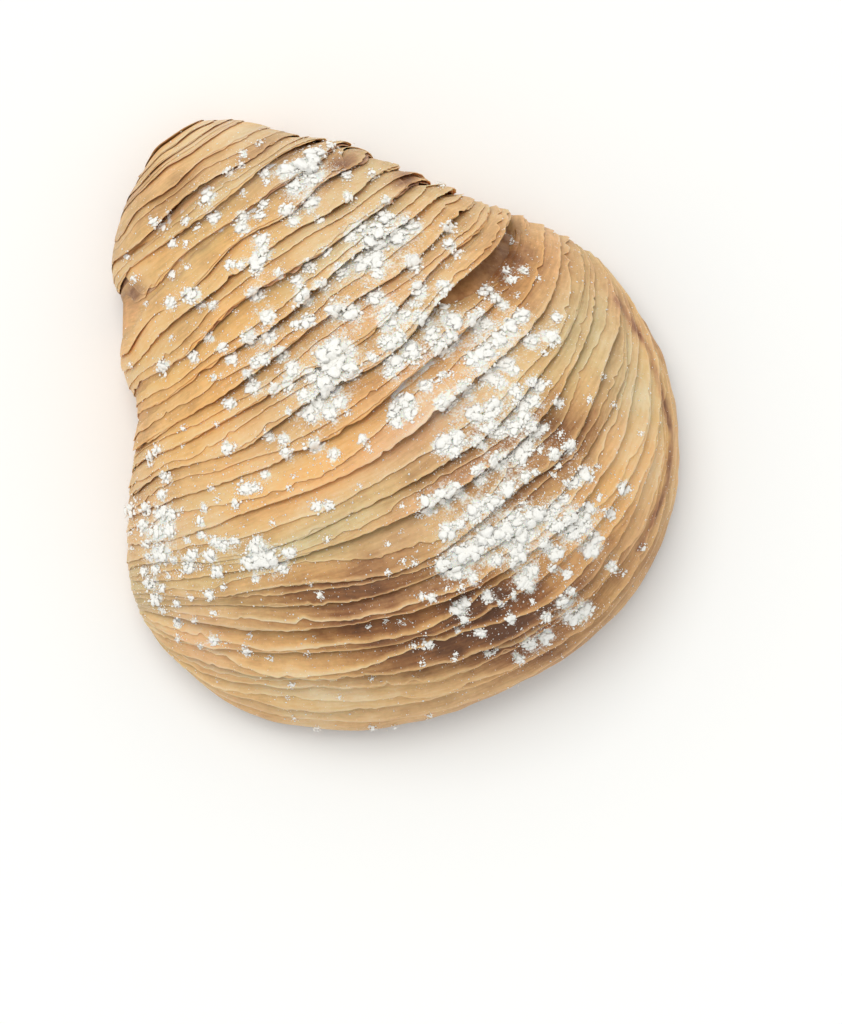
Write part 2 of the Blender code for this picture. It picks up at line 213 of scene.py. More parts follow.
# The lumps of sugar: place and size of each, in tenths of a millimetre
LUMPS = np.array((
    -135, 555, 10, -125, 540, 10, -105, 553, 6, -130, 503, 10, -225, 498, 8, -195, 420, 12,
    -158, 408, 15, -152, 383, 8, -137, 370, 9, -163, 460, 10, -70, 410, 10, -275, 335, 13,
    -177, 330, 11, -220, 315, 12, -65, 337, 15, -88, 520, 8, -58, 395, 8, -45, 495, 14,
    -30, 535, 16, 25, 546, 10, 50, 544, 8, 65, 560, 8, 23, 500, 8, 75, 507, 11, 110, 490, 16,
    145, 470, 26, 165, 485, 19, 135, 448, 16, 200, 485, 12, 0, 465, 10, -15, 450, 14, 25, 447, 10,
    40, 462, 10, 105, 455, 15, 70, 425, 15, 110, 415, 17, 0, 410, 15, -10, 388, 10, 65, 403, 10,
    -30, 380, 20, 170, 383, 11, 190, 420, 12, 105, 378, 8, 230, 395, 10, -10, 342, 9, 80, 325, 12,
    40, 322, 13, 10, 313, 13, 130, 320, 13, 155, 325, 15, 175, 310, 15, 200, 315, 17,
    220, 340, 10, 160, 290, 26, 120, 270, 20, 200, 275, 23, 140, 263, 17, 80, 280, 16,
    230, 275, 17, 0, 280, 19, 40, 278, 12, -20, 243, 14, 30, 230, 18, -40, 250, 10, 130, 240, 12,
    190, 218, 18, 280, 233, 15, 265, 210, 12, 100, 208, 16, 50, 210, 17, 265, 188, 13,
    170, 173, 16, 235, 183, 8, 95, 160, 19, 110, 175, 12, 125, 152, 11, 147, 158, 9, 210, 157, 10,
    -30, 170, 23, -10, 130, 19, 5, 165, 18, -40, 145, 20, -10, 180, 17, -20, 152, 22, 35, 123, 9,
    70, 130, 15, 145, 130, 14, 90, 125, 13, 190, 125, 15, 210, 138, 14, 265, 140, 10, 360, 155, 9,
    60, 95, 17, 95, 90, 20, 40, 85, 10, 140, 93, 15, 185, 93, 18, 265, 103, 15, 270, 83, 10,
    320, 113, 8, 318, 93, 10, 345, 93, 9, 235, 80, 8, 140, 65, 19, 165, 70, 14, 215, 68, 18,
    230, 55, 13, 275, 65, 10, 290, 30, 15, 260, 25, 17, 230, 20, 17, 200, 15, 18, 175, 18, 16,
    35, 30, 16, 10, 27, 14, 80, 30, 13, 115, 26, 8, 30, 7, 16, 0, 10, 12, 85, -15, 14,
    100, -20, 14, 132, -15, 15, 178, -22, 17, 185, -40, 12, 215, -20, 17, 220, -35, 12,
    278, -13, 14, 310, -30, 15, 340, -8, 11, 120, -60, 17, 155, -70, 14, 140, -76, 12,
    200, -70, 13, 235, -76, 10, 45, -70, 17, 70, -75, 17, 50, -93, 13, 95, -105, 12, 125, -98, 16,
    135, -110, 12, 160, -120, 15, 185, -118, 13, 195, -98, 15, 215, -103, 13, 240, -88, 12,
    -40, -140, 18, -10, -145, 15, 15, -148, 16, 65, -143, 13, 60, -162, 10, 100, -153, 17,
    120, -155, 10, 140, -167, 16, 160, -158, 14, 185, -146, 14, 203, -153, 10, 250, -130, 10,
    -40, -198, 17, -15, -200, 10, 15, -200, 16, 30, -195, 12, 50, -203, 15, 60, -210, 10,
    90, -198, 16, 125, -203, 11, 145, -205, 8, 188, -200, 12, 220, -205, 14, -70, -260, 19,
    -40, -245, 20, -20, -255, 19, 10, -248, 21, 40, -260, 22, 65, -275, 20, 95, -265, 19,
    115, -275, 15, 135, -275, 12, 70, -250, 15, 160, -272, 10, 180, -254, 9, 192, -260, 12,
    215, -258, 14, -50, -290, 10, 0, -288, 12, 40, -300, 18, 25, -312, 12, 85, -318, 14,
    120, -302, 16, 145, -310, 19, 165, -318, 16, 185, -312, 12, 135, -330, 15, 158, -333, 13,
    -50, -330, 12, 15, -348, 15, 38, -342, 13, 20, -360, 10, -13, -355, 8, -38, -358, 7,
    90, -342, 14, 70, -360, 8, 255, -320, 14, 210, -343, 12, 145, -373, 17, 165, -363, 14,
    -40, -390, 11, -98, -378, 10, 85, -385, 9, 12, -425, 11, 50, -420, 13, 75, -415, 10,
    160, -425, 11, -40, -448, 14, -10, -455, 15, 50, -455, 17, 75, -458, 16, -80, -240, 14,
    -105, -320, 14, -88, -318, 11, -108, -340, 9, -185, -340, 10, -128, -352, 5, -110, -418, 8,
    -70, -460, 10, -130, -275, 9, -285, -155, 7, -490, -110, 10, -455, -160, 9, -390, 220, 11,
    -370, 225, 10, -385, 177, 12, -480, 170, 14, -450, 150, 13, -410, 155, 11, -470, 130, 15,
    -430, 125, 15, -415, 115, 12, -455, 105, 15, -435, 95, 13, -485, 100, 10, -475, 70, 20,
    -500, 55, 10, -520, 65, 10, -525, 40, 13, -430, 35, 13, -445, 20, 12, -535, 12, 12,
    -405, 15, 13, -380, 30, 10, -370, 15, 12, -350, 10, 9, -330, -30, 18, -340, -45, 16,
    -320, -55, 18, -355, -35, 13, -320, -13, 10, -410, -15, 12, -445, -40, 11, -285, -65, 12,
    -310, -80, 10, -360, 88, 7, -380, 75, 9, -310, 60, 9, -280, 73, 14, -265, 63, 10, -240, 72, 9,
    -185, 78, 12, -175, 100, 9, -138, 60, 16, -120, 28, 11, -65, 20, 10, -198, -28, 11,
    -180, -40, 9, -265, 147, 11, -193, 123, 12, -140, 135, 7, -115, 110, 15, -85, 90, 14,
    -90, 120, 17, -60, 130, 22, -60, 95, 14, -70, 160, 14, -100, 143, 12, -215, 210, 12,
    -165, 205, 15, -135, 180, 13, -110, 173, 13, -90, 190, 15, -158, 230, 9, -140, 238, 10,
    -120, 237, 11, -90, 225, 14, -165, 270, 12, -168, 295, 10, -120, 280, 15, -90, 262, 16,
    -70, 292, 15, -210, 263, 8, -500, 135, 7, -460, 178, 6, -496, 82, 7, -510, 20, 8, -486, 30, 6,
    -463, 46, 7, -506, -16, 8, -538, -12, 6, -478, -24, 7, -526, -44, 8, -498, -60, 6,
    -462, -72, 7, -544, -68, 7, -420, 62, 6, -392, 52, 7, -416, -44, 6, -518, -102, 6,
    -362, -68, 6,
)).reshape(-1, 3) / 10.0
LUMP_FLAT = 0.38
SMALL_LUMPS = 150
LOOSE_GRAINS, GRAIN_SIZES = 6500, (0.08, 0.22)
DUST_SPECKS, DUST_SIZES = 15000, (0.04, 0.10)
# Powder: how far a lump's solid patch and its haze reach, in sizes of the lump, how thick
# one lump's haze is, and how much powder a patch and a haze give
PATCH_REACH, HAZE_REACH = 1.10, 1.8
HAZE_SHARE, HAZE_TOP_SIZE = 0.42, 1.6
PATCH_POWDER, HAZE_POWDER = 1.3, 0.48
POWDER_LEVEL = (0.25, 0.65)
# Sugar stays where the ground lies at least this high and this level
LUMP_LOW, LUMP_LEVEL = 6.0, 0.36
LOOSE_LOW, LOOSE_LEVEL = 7.0, 0.42
# The height map: its cells' size, its low corner, its cells each way, the span that loose
# sugar falls on, and the steepest slope read from it
CELL = 0.3
MAP_LOW = (-60.0, -54.0)
MAP_CELLS = (370, 420)
MAP_SPAN = ((-58.0, 48.0), (-51.0, 67.0))
TOP_SLOPE = 1.2

# The view: the photograph's up and right, and how much of the ground it shows
VIEW_TURN = math.radians(-36.25)
VIEW_MIDDLE = (-0.6, -22.1)
VIEW_DISTANCE = 900.0
VIEW_HEIGHT = 186.0
VIEW_LEVEL = 10.0
SENSOR = 36.0
# Half the floor's side, in metres
FLOOR_HALF = 3.0

# The light: the sky's strength and colour, the sun's strength, breadth and colour, and where
# it comes from along the picture's up, its right and the height
SKY_STRENGTH, SKY_COLOUR = 0.74, (1.0, 1.0, 0.985, 1.0)
SUN_STRENGTH, SUN_WIDTH, SUN_COLOUR = 1.25, math.radians(36.0), (1.0, 0.99, 0.96)
SUN_UP, SUN_RIGHT, SUN_HEIGHT = 0.34, -0.16, 0.85


def eased(t):
    """From 0 to 1 with a level start and end: 3 t squared less 2 t cubed."""
    return t * t * (3.0 - 2.0 * t)


def smooth_step(low, high, value):
    """0 below low, 1 above high and smooth between them."""
    return eased(np.clip((value - low) / (high - low), 0.0, 1.0))


def unit(vectors):
    """Each vector at a length of 1."""
    return vectors / np.maximum(np.linalg.norm(vectors, axis=-1, keepdims=True), 1e-9)


def smooth_line(knots, values, at):
    """Cubic curve through the values at the knots, with no overshoot between them."""
    gaps = np.diff(knots)
    slopes = np.diff(values) / gaps
    before, after = slopes[:-1], slopes[1:]
    same_way = before * after > 0
    total = np.where(same_way, before + after, 1.0)
    inner = np.where(same_way, 2.0 * before * after / total, 0.0)
    tangents = np.concatenate(([slopes[0]], inner, [slopes[-1]]))
    cell = np.clip(np.searchsorted(knots, at, side="right") - 1, 0, len(gaps) - 1)
    gap = gaps[cell]
    t = (at - knots[cell]) / gap
    start = (1 + 2 * t) * (1 - t) ** 2 * values[cell] + t * (1 - t) ** 2 * gap * tangents[cell]
    end = t * t * (3 - 2 * t) * values[cell + 1] - t * t * (1 - t) * gap * tangents[cell + 1]
    return start + end


SPINE_STEPS = np.hypot(np.diff(STATIONS[:, 0]), np.diff(STATIONS[:, 1]))
SPINE = np.concatenate(([0.0], np.cumsum(SPINE_STEPS)))
SPINE_END = SPINE[-1]


def body_point(length, side):
    """A point of the smooth body. length runs along the line of crowns in millimetres, and
    side from -1 at the left foot to 1 at the right foot: an arch that is an ellipse in
    height, and in plan an ellipse on the right and a cosine on the left. Past the ends
    and the feet it goes on down the rim, drawn in by the fourth power of the way down."""
    past_end = np.maximum(length - SPINE_END, 0.0) + np.maximum(-length, 0.0)
    past_foot = np.maximum(np.abs(side) - 1.0, 0.0) * SIDE_UNIT
    down = np.clip(np.maximum(past_end, past_foot) / RIM_LENGTH, 0.0, 1.0)
    length = np.clip(length, 0.0, SPINE_END)
    side = np.clip(side, -1.0, 1.0)
    crown_y, crown_z, left_x, left_y, right_x, right_y = (
        smooth_line(SPINE, STATIONS[:, column], length) for column in range(6)
    )
    crown_x = CROWN_SIDE + CROWN_SLANT * crown_y
    lateral = np.sin(0.5 * math.pi * side)
    reach = np.abs(lateral)
    foot_x = np.where(lateral > 0, right_x, left_x)
    foot_y = np.where(lateral > 0, right_y, left_y)
    ellipse = np.cos(0.5 * math.pi * side)
    slack = np.cos(0.5 * math.pi * reach)
    full = np.clip((FULL_LEFT_FROM - crown_y) / (FULL_LEFT_FROM - FULL_LEFT_TO), 0.0, 1.0)
    lap = np.where(lateral > 0, ellipse, slack + (ellipse - slack) * full)
    x = crown_x + reach * (foot_x - crown_x)
    y = foot_y + (crown_y - foot_y) * lap
    z = FOOT_HEIGHT + (crown_z - FOOT_HEIGHT) * ellipse
    shrink = 1.0 - RIM_PULL * down**4
    x = RIM_CENTRE[0] + (x - RIM_CENTRE[0]) * shrink
    y = RIM_CENTRE[1] + (y - RIM_CENTRE[1]) * shrink
    return np.stack([x, y, z * (1.0 - down)], axis=-1)


def outward(length, side):
    """The body's unit normal, from the cross product of its two slopes."""
    step = 0.05
    turn = 0.004
    along = body_point(length + step, side) - body_point(length - step, side)
    across = body_point(length, side + turn) - body_point(length, side - turn)
    return unit(np.cross(along, across))


def leaf_lips(rng):
    """Length along the spine of each lip. The leaves widen toward the front."""
    number = np.arange(LEAVES)
    widths = 1.0 + LEAF_GROWTH * np.minimum(number / (0.55 * LEAVES), 1.0)
    widths = widths * (1.0 + LEAF_VARIATION * rng.uniform(-1.0, 1.0, LEAVES))
    return np.concatenate(([0.0], np.cumsum(widths))) * SPINE_END / widths.sum()


SOLID_DRAWS = np.random.default_rng(SEED)
LIPS = leaf_lips(SOLID_DRAWS)
WAVE_PHASES = SOLID_DRAWS.uniform(0.0, 2.0 * math.pi, (LEAVES + 1, 2))
WAVE_COUNTS = SOLID_DRAWS.uniform(1.2, 4.5, (LEAVES + 1, 2))


def lip_line(number, side):
    """Length along the spine of one lip at each side: its even place plus two waves. Before
    the first lip lies the foot of the back end, and the last lip turns under the hem."""
    if number < 0:
        return np.full_like(side, -0.9 * RIM_LENGTH)
    if number >= LEAVES:
        return np.full_like(side, SPINE_END + HEM_REACH)
    if number == 0:
        return np.zeros_like(side)
    side = np.clip(side, -1.0, 1.0)
    width = 0.5 * (LIPS[number + 1] - LIPS[number - 1])
    waves = sum(
        np.sin(WAVE_PHASES[number, wave] + WAVE_COUNTS[number, wave] * math.pi * side)
        for wave in range(2)
    )
    return LIPS[number] + LEAF_WANDER * 0.5 * waves * width


def wavering(rng, along, scale):
    """A smooth random line from -1 to 1 along a lip: random values that far apart, blended."""
    place = (along - along.min()) / scale + rng.uniform(0.0, 1.0)
    values = rng.uniform(-1.0, 1.0, int(place.max()) + 3)
    cell = place.astype(int)
    t = eased(place - cell)
    return values[cell] * (1.0 - t) + values[cell + 1] * t


def lumpiness(points, scale, seed):
    """Smooth random field from -1 to 1 over space: random values at the corners of a cubic
    lattice of that scale, blended by a smooth step in each direction."""
    place = points / scale + 1000.0
    cell = np.floor(place).astype(np.int64)
    t = eased(place - cell)
    total = np.zeros(points.shape[:-1])
    for corner in range(8):
        bits = np.array([corner & 1, corner >> 1 & 1, corner >> 2 & 1])
        x, y, z = np.moveaxis(cell + bits, -1, 0)
        mixed = (x * 73856093 ^ y * 19349663 ^ z * 83492791 ^ seed * 26544357) & 0x7FFFFFFF
        mixed = (mixed ^ mixed >> 13) * 1274126177 & 0x7FFFFFFF
        value = (mixed ^ mixed >> 15) / float(0x7FFFFFFF) * 2.0 - 1.0
        weight = np.prod(np.where(bits == 1, t, 1.0 - t), axis=-1)
        total += weight * value
    return total


def torn_edge(rng, along):
    """How far a lip's edge strays, in millimetres: three sizes of raggedness and some small
    notches."""
    edge = sum(far * wavering(rng, along, scale) for far, scale in RAGGED)
    for _ in range(rng.poisson(np.ptp(along) / NOTCH_SPACING)):
        middle = rng.uniform(along.min(), along.max())
        half = rng.uniform(*NOTCH_HALF)
        deep = rng.uniform(*NOTCH_DEPTH)
        edge = edge - deep * np.clip(1.0 - np.abs(along - middle) / half, 0.0, 1.0) ** 0.8
    return edge


def calmness(number, side):
    """How far a leaf's sheets stand off, from nearly flat at the back end to 1 in front.
    It is less on the left flank, and at both ends of the first leaves."""
    calm = 0.30 + 0.58 * smooth_step(3.0, 10.0, number) + 0.12 * smooth_step(15.0, 20.0, number)
    calm = calm * (1.0 - 0.45 * smooth_step(0.20, 0.55, -side) * (number < 21))
    return calm * (1.0 - 0.55 * smooth_step(0.30, 0.75, np.abs(side)) * (number < 5))


def leaf_form(rng, number):
    """What the sheets of one leaf share, column by column along its lip: the two lengths
    that it lies between, how deep it starts, how proud it stands and how it curls."""
    past = LIP_FOOT * RIM_LENGTH / SIDE_UNIT
    coarse = np.linspace(-1.0 - past, 1.0 + past, LIP_SAMPLES)
    points = body_point(lip_line(number + 1, coarse), coarse)
    steps = np.linalg.norm(np.diff(points, axis=0), axis=1)
    run = np.concatenate(([0.0], np.cumsum(steps)))
    columns = max(int(run[-1] / STEP), 8)
    along = np.linspace(0.0, run[-1], columns + 1)
    side = np.interp(along, run, coarse)
    start, end = lip_line(number, side), lip_line(number + 1, side)
    middle = 0.5 * (start + end)
    gap = np.linalg.norm(body_point(end, side) - body_point(start, side), axis=-1)
    room = np.clip(gap / FULL_SPACING, 0.06, 1.25)
    flat = np.clip((1.10 - np.abs(side)) / np.where(side < 0, 0.30, 0.18), 0.30, 1.0)
    calm = calmness(number, side)
    front = np.clip((middle - 0.62 * SPINE_END) / (0.2 * SPINE_END), 0.0, 1.0)
    deep = DEEP[0] + DEEP[1] * front + DEEP[2] * wavering(rng, along, 17.0)
    proud = PROUD[0] + PROUD[1] * front + PROUD[2] * wavering(rng, along, 15.0)
    deep = calm * (deep + DEEP[3] * wavering(rng, along, 4.0))
    proud = calm * (proud + PROUD[3] * wavering(rng, along, 4.0))
    for leaf, place, half, extra_deep, extra_rise in GAPES:
        near = np.exp(-(((side - place) / half) ** 4))
        deep = deep + (leaf + 1 == number) * extra_deep * near
        proud = proud + (leaf == number) * extra_rise * near
    return {
        "number": number,
        "side": side,
        "along": along,
        "start": start,
        "end": end,
        "gap": np.maximum(gap, 0.8),
        "room": room,
        "calm": calm,
        "deep": np.maximum(deep, 0.15) * flat,
        "proud": np.maximum(proud, -1.0) * flat,
        "curl": (CURL[0] * wavering(rng, along, 13.0) + CURL[1] * wavering(rng, along, 3.2))
        * flat * (0.3 + 0.7 * calm),
        "bulge": rng.uniform(1.35, 2.1),
        "seed": int(rng.integers(1, 9999)),
    }


def tear_depth(number, side):
    """How far the lip of a leaf is torn back at each side."""
    depth = np.zeros_like(side)
    for leaf, middle, half, deep in TEARS:
        near = np.exp(-(((side - middle) / half) ** 4))
        depth += (leaf == number) * deep * near
    return depth


def sheet_point(form, lap, raised):
    """A point of a sheet. lap is 0 at the lip before and 1 at its own lip. From behind that
    lip the sheet rises by a power curve from its depth to its proud edge, then curls.
    raised is its height over the leaf itself."""
    length = form["start"] + lap * (form["end"] - form["start"])
    side = np.broadcast_to(form["side"], length.shape)
    base = body_point(length, side)
    swell = 1.0 - (1.0 - np.clip(lap, 0.0, 1.0)) ** form["bulge"]
    rise = -form["deep"] + (form["deep"] + form["proud"]) * swell
    rise = rise - 1.5 * form["calm"] ** 1.5 * np.maximum(-lap, 0.0)
    curl = form["curl"] * np.clip((lap - 0.62) / 0.38, 0.0, 1.5) ** 2
    ripple = 0.13 * lumpiness(base, 7.5, form["seed"]) + 0.06 * lumpiness(base, 2.2, form["seed"])
    room = form["room"]
    height = room * (RELIEF * rise + curl + ripple * (0.4 + 0.6 * form["calm"]))
    height = height + raised * np.minimum(room, 1.0) * form["calm"]
    return base + outward(length, side) * height[..., None]


def sheet_block(rng, form, rows, root, front, lift, sink, behind=0.0):
    """One closed sheet as a grid: rows over its upper face from root to lip, one round its
    edge and some back under it. front is the lap of its lip, and it lies as far over the
    leaf as lift at its lip, less sink. It shows from behind on. Returns its points with
    each one's lap, edge and how far out it lies."""
    ragged = torn_edge(rng, form["along"]) * np.minimum(form["room"], 1.0)
    ragged = ragged - tear_depth(form["number"], form["side"])
    lip = np.maximum(front + np.clip(ragged / form["gap"], -0.95, 0.3), root + 0.02)

    def height_over(lap):
        return lift * np.clip(lap / front, 0.0, 1.2) ** 2 - sink

    upper = root + (lip - root) * np.array(rows)[:, None]
    lower = lip - np.array([0.01, 0.12, 0.40])[:, None] * np.ones_like(lip)
    lower = np.concatenate([lower, np.full((1, len(lip)), root)])
    lower = np.maximum(lower, root)
    top = sheet_point(form, upper, height_over(upper))
    thin = THICKNESS * np.clip(form["room"] * 1.5, 0.15, 1.0)
    under = thin * np.array([0.70, 1.0, 1.0, 1.0])[:, None]
    bottom = sheet_point(form, lower, height_over(lower) - under)
    outer = sheet_point(form, lip + 0.02, height_over(lip) - 0.35 * thin)
    edge = 0.2 * (top[-1] + bottom[0]) + 0.6 * outer
    points = np.concatenate([top, edge[None], bottom])
    lap = np.concatenate([upper, lip[None], lower])
    rim = np.zeros_like(lap)
    count = len(rows)
    rim[count - 2] = 0.4
    rim[count - 1:count + 2] = 1.0
    out = (lap - behind) / np.maximum(lip - behind, 0.05)
    return {"points": points, "lap": lap, "out": out, "rim": rim, "form": form, "rows": count}


def near_region(points, x, y, wide, long):
    """1 at a region's middle, fading out as a bell."""
    away = ((points[..., 0] - x) / wide) ** 2 + ((points[..., 1] - y) / long) ** 2
    return np.exp(-away)


def red_shaded_line_share(points):
    """1 on the dark red line along the right rim and 0 off it, seen from above: reddish dough
    with painted shade. Its line and its strength waver, and it fades out low on the rim."""
    nearest = np.full(points.shape[:-1], np.inf)
    for start, end in zip(RED_SHADED_LINE[:-1], RED_SHADED_LINE[1:]):
        run = np.subtract(end, start)
        share = np.clip(((points[..., :2] - start) @ run) / (run @ run), 0.0, 1.0)
        away = np.linalg.norm(points[..., :2] - start - share[..., None] * run, axis=-1)
        nearest = np.minimum(nearest, away)
    off_line = nearest + 0.3 * lumpiness(points, 2.5, 75)
    on_line = np.exp(-((off_line / RED_SHADED_LINE_WIDTH) ** 2)) * smooth_step(8.0, 12.0, points[..., 2])
    return on_line * (0.75 + 0.35 * lumpiness(points, 4.0, 76))


def band_shade_and_browning(points):
    """How far each point lies in the dark bands, real browning with painted shade, seen from
    above:
    the most of their strengths, each fading out by the fourth power."""
    most = np.zeros(points.shape[:-1])
    for x, y, long, wide, strength in DARK_BANDS:
        across, ahead = points[..., 0] - x, points[..., 1] - y
        along = across * math.cos(DARK_TURN) + ahead * math.sin(DARK_TURN)
        aside = ahead * math.cos(DARK_TURN) - across * math.sin(DARK_TURN)
        fade = np.exp(-((along / long) ** 4) - (aside / wide) ** 4)
        most = np.maximum(most, strength * fade)
    return most


def colour_fields(points, out, shade):
    """Browning, gold and rose of each point: the pastry's own, its region's and its leaf's.
    out runs from 0 where a sheet comes out from behind the lip before, and is browner there,
    painted shade under that lip with some browning, to 1 at its own lip, which is paler, a
    painted highlight.
    Both show most in the dark bands in front."""
    toast, gold, rose = colour = [
        np.full(points.shape[:-1], base + own) for base, own in zip(BASE_COLOUR, shade)
    ]
    for x, y, wide, long, *change in REGIONS:
        fade = near_region(points, x, y, wide, long)
        for channel, more in zip(colour, change):
            channel += more * fade
    # In the dark bands: browner behind each lip, painted shade with real browning, and paler on
    # the lip, a painted highlight.
    dark, lip = band_shade_and_browning(points), smooth_step(0.76, 0.97, out)
    for channel, (behind, on_lip) in zip(colour, BAND_BROWNING_SHADE_AND_HIGHLIGHT):
        channel += dark * (behind + on_lip * lip)
    # Browner where a sheet comes out from behind the lip before, painted shade under that lip
    # with some browning; paler towards its own lip, a painted highlight.
    toast += 0.12 * (1.0 - smooth_step(-0.1, 0.40, out))
    toast -= 0.06 * smooth_step(0.70, 0.95, out)
    low = 1.0 - smooth_step(2.0, 10.0, points[..., 2])
    # The dark red line along the right rim is reddish dough with painted shade.
    for change, share in ((RIM_COLOUR, low), (RED_SHADED_LINE_COLOUR, red_shaded_line_share(points))):
        for channel, more in zip(colour, change):
            channel += more * share
    toast += 0.07 * lumpiness(points, 9.0, 71) + 0.05 * lumpiness(points, 3.0, 72)
    gold += 0.14 * lumpiness(points, 14.0, 73)
    rose += 0.14 * lumpiness(points, 11.0, 74)
    return toast, np.clip(gold, 0.0, 1.0), np.clip(rose, 0.0, 1.0)


def sugar_cover(points):
    """How thickly sugar lies seen from above: under each lump a solid patch whose outline
    strays, and round it a haze. Puts out both."""
    spots = points.reshape(-1, 3)
    x = spots[:, 0] + 0.55 * lumpiness(spots, 1.6, 81) + 0.25 * lumpiness(spots, 0.6, 82)
    y = spots[:, 1] + 0.55 * lumpiness(spots, 1.6, 83) + 0.25 * lumpiness(spots, 0.6, 84)
    solid, haze = np.zeros(len(spots)), np.zeros(len(spots))
    for at_x, at_y, size in LUMPS:
        away = np.hypot(x - at_x, y - at_y) / size
        solid = np.maximum(solid, 1.0 - away / PATCH_REACH)
        haze += HAZE_SHARE * min(size, HAZE_TOP_SIZE) * np.exp(-((away / HAZE_REACH) ** 2))
    shape = points.shape[:-1]
    return solid.reshape(shape), np.clip(haze, 0.0, 1.0).reshape(shape)


def levelness(grid):
    """How level each point of a grid lies, from 0 on a wall to 1: the upward share of the
    cross product of its two slopes."""
    normal = np.cross(np.gradient(grid, axis=0), np.gradient(grid, axis=1))
    return np.abs(unit(normal)[..., 2])


def in_frame(points):
    """From the stations' own place to the frame, in metres."""
    return (points - (BODY_MIDDLE[0], BODY_MIDDLE[1], 0.0)) * MM


def grid_faces(rows, columns, first):
    """Four-sided faces of a grid whose rows close into a loop, and its two end faces."""
    at = first + np.arange(rows * columns).reshape(rows, columns)
    below = np.roll(at, -1, axis=0)
    quads = np.stack([at[:, :-1], below[:, :-1], below[:, 1:], at[:, 1:]], axis=-1)
    return quads.reshape(-1, 4), at[::-1, 0], at[:, -1]


def make_mesh(name, points, quads, others=(), fields=None):
    """A mesh from whole arrays: points, four-sided faces, faces with other counts, and
    values to keep at its points."""
    mesh = bpy.data.meshes.new(name)
    corners = np.concatenate([quads.ravel(), *[np.ravel(face) for face in others]])
    sizes = np.concatenate([np.full(len(quads), 4), [len(face) for face in others]]).astype(int)
    starts = np.concatenate(([0], np.cumsum(sizes)[:-1]))
    mesh.vertices.add(len(points))
    mesh.vertices.foreach_set("co", in_frame(points).ravel())
    mesh.loops.add(len(corners))
    mesh.loops.foreach_set("vertex_index", corners)
    mesh.polygons.add(len(sizes))
    mesh.polygons.foreach_set("loop_start", starts)
    mesh.polygons.foreach_set("use_smooth", np.ones(len(sizes), bool))
    for label, values in (fields or {}).items():
        kind, key = ("FLOAT_VECTOR", "vector") if values.ndim == 2 else ("FLOAT", "value")
        layer = mesh.attributes.new(label, kind, "POINT")
        layer.data.foreach_set(key, np.ravel(values).astype(np.float32))
    mesh.update(calc_edges=True)
    mesh.validate()
    return mesh


def drop_flat_faces(mesh):
    """Collapse edges with next to no length, so that no face is left without area."""
    work = bmesh.new()
    work.from_mesh(mesh)
    bmesh.ops.dissolve_degenerate(work, dist=SHORTEST_EDGE * MM, edges=work.edges)
    work.to_mesh(mesh)
    work.free()
    return mesh


def put_in(name, data):
    """Put an object with this mesh, light or camera into the scene."""
    thing = bpy.data.objects.new(name, data)
    bpy.context.scene.collection.objects.link(thing)
    return thing


def add_piece(name, mesh, material):
    """Put a mesh in the scene as a piece of the pastry."""
    piece = put_in(name, mesh)
    mesh.materials.append(material)
    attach(piece, "root")
    return piece


def add_leaves(name, sheets, material):
    """Join sheets into one piece, with the values that its material reads."""
    points, quads, ends, fields = [], [], [], []
    first = 0
    for block, shade in sheets:
        grid, form = block["points"], block["form"]
        rows, columns = grid.shape[:2]
        faces, start_cap, end_cap = grid_faces(rows, columns, first)
        toast, gold, rose = colour_fields(grid, block["out"], shade)
        solid, haze = sugar_cover(grid)
        powder = PATCH_POWDER * solid + HAZE_POWDER * haze
        powder = powder * smooth_step(*POWDER_LEVEL, levelness(grid))
        along = np.broadcast_to(form["along"], (rows, columns))
        weave = np.stack(
            [0.22 * along, 1.9 * block["lap"] * form["gap"], np.full_like(along, shade[3])], -1
        )
        points.append(grid.reshape(-1, 3))
        quads.append(faces)
        ends += [start_cap, end_cap]
        fields.append({
            "rim": block["rim"].ravel(), "toast": toast.ravel(), "gold": gold.ravel(),
            "rose": rose.ravel(), "powder": powder.ravel(), "weave": weave.reshape(-1, 3),
        })
        first += rows * columns
    joined = {label: np.concatenate([made[label] for made in fields]) for label in fields[0]}
    mesh = make_mesh(name, np.concatenate(points), np.concatenate(quads), ends, joined)
    return add_piece(name, drop_flat_faces(mesh), material)


def height_map(blocks):
    """Highest point over each cell of the ground, from the sheets' upper faces. An empty
    cell takes the highest of those round it."""
    heights = np.zeros(MAP_CELLS)
    for block in blocks:
        grid = block["points"][:block["rows"]]
        finer = [grid[:-1] + (grid[1:] - grid[:-1]) * share for share in (0.0, 0.25, 0.5, 0.75)]
        finer = np.concatenate([*finer, grid[-1:]])
        middle = 0.5 * (finer[:, 1:] + finer[:, :-1])
        dots = np.concatenate([finer.reshape(-1, 3), middle.reshape(-1, 3)])
        place = ((dots[:, :2] - MAP_LOW) / CELL).astype(int)
        inside = np.all((place >= 0) & (place < MAP_CELLS), axis=1)
        np.maximum.at(heights, (place[inside, 0], place[inside, 1]), dots[inside, 2])
    around = [np.roll(heights, (dx, dy), (0, 1)) for dx in (-1, 0, 1) for dy in (-1, 0, 1)]
    return np.where(heights > 0.0, heights, np.max(around, axis=0))


def fall_on(heights, x, y):
    """Height and unit normal of what lies under each place, from the height map. The slope
    is taken over two cells each way."""
    column = np.clip(((x - MAP_LOW[0]) / CELL).astype(int), 2, MAP_CELLS[0] - 3)
    row = np.clip(((y - MAP_LOW[1]) / CELL).astype(int), 2, MAP_CELLS[1] - 3)
    slope_x = (heights[column + 2, row] - heights[column - 2, row]) / (4 * CELL)
    slope_y = (heights[column, row + 2] - heights[column, row - 2]) / (4 * CELL)
    slope_x, slope_y = (np.clip(slope, -TOP_SLOPE, TOP_SLOPE) for slope in (slope_x, slope_y))
    return heights[column, row], unit(np.stack([-slope_x, -slope_y, np.ones_like(slope_x)], -1))


